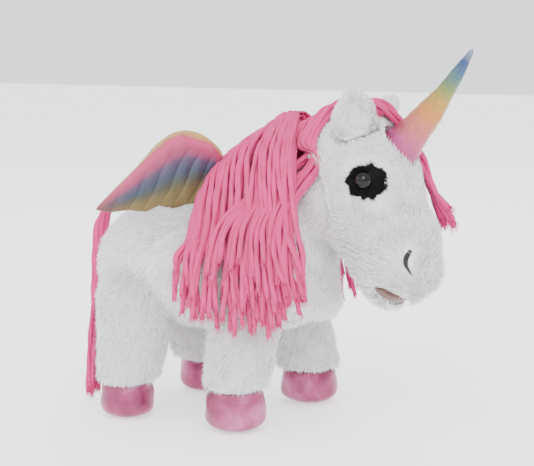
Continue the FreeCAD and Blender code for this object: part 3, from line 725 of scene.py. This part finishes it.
# wings
for index, side in enumerate(("right", "left")):
    sign = -1 if side == "right" else 1
    joint = joints["wing_flap_" + side]
    root = np.array(joint["pos_m"])
    back = unit(np.array(joint["axis"])) * (1 if joint["axis"][0] < 0 else -1)
    wing = formOf(["wing_cover_" + side, "wing_padding_" + side], "wing_" + side, wingMaterial, 1.15, 2)
    v = coords(wing) - root
    flat = v - np.outer(v @ back, back)
    far = flat[np.linalg.norm(flat, axis=1) > 0.06]
    out = unit(far.mean(0))
    normal = np.cross(back, out)
    a, b, n = v @ back, v @ out, v @ normal
    leadA = np.array([-0.036, -0.034, -0.027, -0.002, 0.014, 0.047, 0.075, 0.106])
    leadB = np.array([0.030, 0.052, 0.076, 0.0945, 0.090, 0.060, 0.034, 0.004])
    lead = np.interp(a, leadA, leadB)
    drop = np.clip((lead - b) / (lead + 0.009), 0, 1)
    tipShare = np.clip((a - 0.066) / 0.04, 0, 1) ** 1.3
    # feather channels run from the upper front down and back to the scallops
    line = a + 0.62 * (b + 0.004) + 0.0016 * np.sin(b * 90)
    edges = np.array([-0.030, -0.006, 0.0130, 0.0285, 0.0425, 0.0580, 0.0740, 0.0930, 0.12])
    index0 = np.clip(np.searchsorted(edges, line) - 1, 0, len(edges) - 2)
    inside = (line - edges[index0]) / (edges[index0 + 1] - edges[index0])
    pillow = np.sqrt(np.clip(4 * inside * (1 - inside), 0, 1))
    fade = np.clip((drop - 0.16) / 0.25, 0, 1) * np.clip((0.097 - a) / 0.02, 0, 1)
    rim = np.exp(-((drop - 0.065) / 0.018) ** 2)
    thickness = 0.82 * np.clip(drop / 0.14, 0.42, 1) ** 0.8 - 0.55 * fade * (1 - pillow) - 0.16 * rim
    thickness *= np.clip(1.05 - 0.35 * np.clip(a / 0.1, 0, 1), 0, 1.1)
    bend = -0.006 * ((a - 0.03) / 0.07) ** 2 * sign * 0.5
    n2 = n * thickness + 0.0004 * blobNoise(v, 0.02, 90)
    setCoords(wing, root + np.outer(a, back) + np.outer(b, out) + np.outer(n2, normal))
    applyModifier(wing, "SMOOTH", factor=0.4, iterations=1)
    for name, values in (("drop", drop), ("tip", tipShare)):
        attribute = wing.data.attributes.new(name, "FLOAT", "POINT")
        attribute.data.foreach_set("value", values.astype(np.float32))
    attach(wing, "wing_" + side)
    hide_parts("wing_cover_" + side, "wing_padding_" + side)
print("wings made")


# mane
def along(table, u):
    table = np.asarray(table, float)
    places = np.linspace(0, 1, len(table))
    return np.array([np.interp(u, places, table[:, k]) for k in range(table.shape[1])])


crest = [(-0.045, 0.010, 0.243), (-0.024, 0.005, 0.263), (-0.002, 0.003, 0.285),
         (0.016, 0.003, 0.299), (0.032, 0.004, 0.299)]
shoulder = [(-0.052, 0.046, 0.222), (-0.036, 0.050, 0.246), (-0.010, 0.053, 0.264),
            (0.024, 0.054, 0.264), (0.048, 0.052, 0.262)]
side1 = [(-0.052, 0.078, 0.186), (-0.036, 0.078, 0.198), (-0.006, 0.079, 0.204),
         (0.034, 0.077, 0.208), (0.062, 0.072, 0.210)]
low = [(-0.052, 0.095, 0.134), (-0.036, 0.096, 0.122), (0.006, 0.099, 0.109),
       (0.050, 0.098, 0.112), (0.080, 0.093, 0.140)]


def maneStrands(sign, seed):
    local = np.random.default_rng(seed)
    paths = []
    for i in range(MANE["strands"]):
        u = (i + 0.5) / MANE["strands"] + local.normal() * 0.012
        layer = (i % 3)
        lift = np.array([0.0, 0.0042, 0.0080])[layer]
        points = []
        for k, table in enumerate((crest, shoulder, side1, low)):
            shift = u + local.normal() * (0.0, 0.012, 0.018, 0.028)[k]
            p = along(table, np.clip(shift, 0, 1))
            p[1] = p[1] + lift * (0.35, 1.0, 1.0, 0.8)[k]
            p[2] = p[2] + lift * (1.0, 0.8, 0.0, 0.0)[k]
            points.append(p)
        end = points[-1]
        shorter = (0.0, 0.018, 0.030)[layer] * local.uniform(0.4, 1.2)
        if local.random() < 0.25:
            shorter = 0
        end[2] += shorter + local.normal() * 0.004
        end[0] += local.normal() * 0.003
        middle = (points[2] + end) / 2 + np.array([local.normal() * 0.003, 0.004 + local.normal() * 0.001, 0])
        points.insert(3, middle)
        paths.append([(p[0], sign * p[1], p[2]) for p in points])
    return paths


for side, sign, seed in (("right", -1, 101), ("left", 1, 102)):
    mane = bundle("mane_yarn_" + side, maneStrands(sign, seed), yarnMaterial, seed)
    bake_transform(mane)
    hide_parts("mane_" + side)
print("mane made")


def overHead(point, lift):
    spot, normal = head.closest_point_on_mesh(Vector(point))[1:3]
    return np.array(spot + normal * lift)


# crown: from between the ears back over the poll and down both sides
local = np.random.default_rng(55)
paths = []
for i in range(MANE["crown"] * 2):
    sign = -1 if i % 2 else 1
    u = (i // 2 + 0.5) / MANE["crown"]
    lift = 0.003 + 0.0045 * (i // 2 % 2) + local.uniform(0, 0.002)
    points = [overHead((0.094 - 0.066 * u, sign * 0.002, 0.31), lift + 0.003),
              overHead((0.078 - 0.058 * u, sign * 0.022, 0.305), lift + 0.004),
              overHead((0.060 - 0.046 * u, sign * 0.045, 0.282), lift + 0.002),
              overHead((0.050 - 0.042 * u, sign * 0.058, 0.250), lift + 0.001)]
    drop = local.uniform(0.0, 0.05)
    points.append(np.array([0.052 - 0.060 * u, sign * (0.074 + 0.006 * u + lift), 0.214]))
    points.append(np.array([0.064 - 0.084 * u, sign * (0.092 + 0.006 * u + lift), 0.178 - drop]))
    paths.append(np.array(points) + local.normal(size=(6, 3)) * 0.0012)
crown = bundle("crownYarn", paths, yarnMaterial, 56)
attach(crown, "head")
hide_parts("crown_mane")

paths = []
for i in range(MANE["forelock"]):
    u = (i + 0.5) / MANE["forelock"]
    layer = 0.0025 + 0.0042 * (i % 2)
    points = [overHead((0.086, -0.014 + 0.026 * u, 0.305), layer),
              overHead((0.108, -0.012 + 0.038 * u, 0.312), layer + 0.006),
              overHead((0.128 - 0.004 * u, 0.012 + 0.030 * u, 0.296), layer + 0.003),
              overHead((0.146 - 0.006 * u, 0.023 + 0.022 * u, 0.262), layer + 0.002)]
    points.append(np.array([0.160 - 0.012 * u, 0.027 + 0.020 * u, 0.236]))
    points.append(np.array([0.178 - 0.014 * u + local.normal() * 0.004, 0.026 + 0.020 * u,
                            0.206 + local.normal() * 0.007]))
    paths.append(np.array(points) + local.normal(size=(6, 3)) * 0.0011)
lock = bundle("forelockYarn", paths, yarnMaterial, 57)
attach(lock, "head")
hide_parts("forelock")
print("forelock made")

# tail
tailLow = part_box("tail_yarn")[0]
root = np.array(joints["tail_swing"]["pos_m"])
paths = []
for i in range(MANE["tail"]):
    angle = i * 2.4
    spread = math.sqrt((i + 0.5) / MANE["tail"])
    dx, dy = 0.0068 * spread * math.cos(angle), 0.0072 * spread * math.sin(angle)
    points = [root + (0.003 - 0.3 * dx, dy * 0.6, -0.002),
              root + (-0.007, dy * 0.8, 0.009 + dx * 0.6),
              root + (-0.018, dy, 0.008 + dx * 0.7),
              np.array([tailLow.x + 0.0105 + dx, dy - 0.010, root[2] - 0.016])]
    for share in (0.3, 0.6, 0.85, 1.0):
        points.append(np.array([tailLow.x + 0.0105 + dx + 0.007 * share + local.normal() * 0.0012,
                                dy * (1 + 0.2 * share) - 0.010 - 0.034 * share + local.normal() * 0.0012,
                                (root[2] - 0.016) * (1 - share) + (0.012 + 0.016 * local.random()) * share]))
    paths.append(points)
tail = bundle("tailYarn", paths, yarnMaterial, 58, thickness=0.95)
bpy.ops.mesh.primitive_torus_add(major_segments=48, minor_segments=12, major_radius=0.0088,
                                 minor_radius=0.0012)
wrap = bpy.context.active_object
turn = Vector((0, 0, 1)).rotation_difference(Vector((-0.5, 0, 0.866))).to_matrix()
ringPoints = np.array([turn @ Vector(p) for p in coords(wrap)])
setCoords(wrap, ringPoints + root + np.array([-0.003, 0, 0.005]))
named(wrap, "tailBinding", tapeMaterial)
for piece, nodes, slot in ((tail, ["tail_yarn"], "yarn"), (wrap, ["tail_binding"], "tape")):
    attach(piece, "tail")
    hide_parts(*nodes)

tape = formOf(["mane_tape"], "maneTape", tapeMaterial, 1.2, 1)
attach(tape, "torso")
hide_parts("mane_tape")
print("tail made")

# studio
bpy.ops.mesh.primitive_plane_add(size=12.0, location=(0, 0, 0))
floor = named(bpy.context.active_object, "studioFloorPiece", floorMaterial, False)
world = bpy.data.worlds.new("studio")
bpy.context.scene.world = world
world.use_nodes = True
world.node_tree.nodes["Background"].inputs[0].default_value = (0.95, 0.96, 1.0, 1)
world.node_tree.nodes["Background"].inputs[1].default_value = 1.75
for name, spot, energy, size, color in (("key", (0.9, -1.5, 1.9), 36, 1.3, (1, 0.98, 0.95)),
                                        ("spotLeft", (-0.1, -1.5, 0.85), 2.2, 0.12, (1, 1, 1)),
                                        ("spotRight", (0.75, -1.5, 0.9), 2.2, 0.12, (1, 1, 1)),
                                        ("fill", (-1.6, -1.2, 1.1), 11, 1.6, (0.95, 0.97, 1)),
                                        ("back", (-0.6, 1.6, 1.8), 20, 1.4, (1, 1, 1))):
    light = bpy.data.lights.new(name, "AREA")
    light.energy, light.size, light.color = energy, size, color
    lamp = bpy.data.objects.new(name, light)
    lamp.location = spot
    lamp.rotation_euler = (Vector((0, 0, 0.18)) - Vector(spot)).to_track_quat("-Z", "Y").to_euler()
    bpy.context.scene.collection.objects.link(lamp)
azimuth, elevation = math.radians(VIEW["azimuth"]), math.radians(VIEW["elevation"])
target = Vector(VIEW["target"])
level = math.cos(elevation)
away = Vector((math.sin(azimuth) * level, -math.cos(azimuth) * level, math.sin(elevation)))
lens = bpy.data.cameras.new("view")
lens.lens = VIEW["lens"]
camera = bpy.data.objects.new("view", lens)
camera.location = target + away * VIEW["distance"]
camera.rotation_euler = (-away).to_track_quat("-Z", "Y").to_euler()
bpy.context.scene.collection.objects.link(camera)
bpy.context.scene.camera = camera
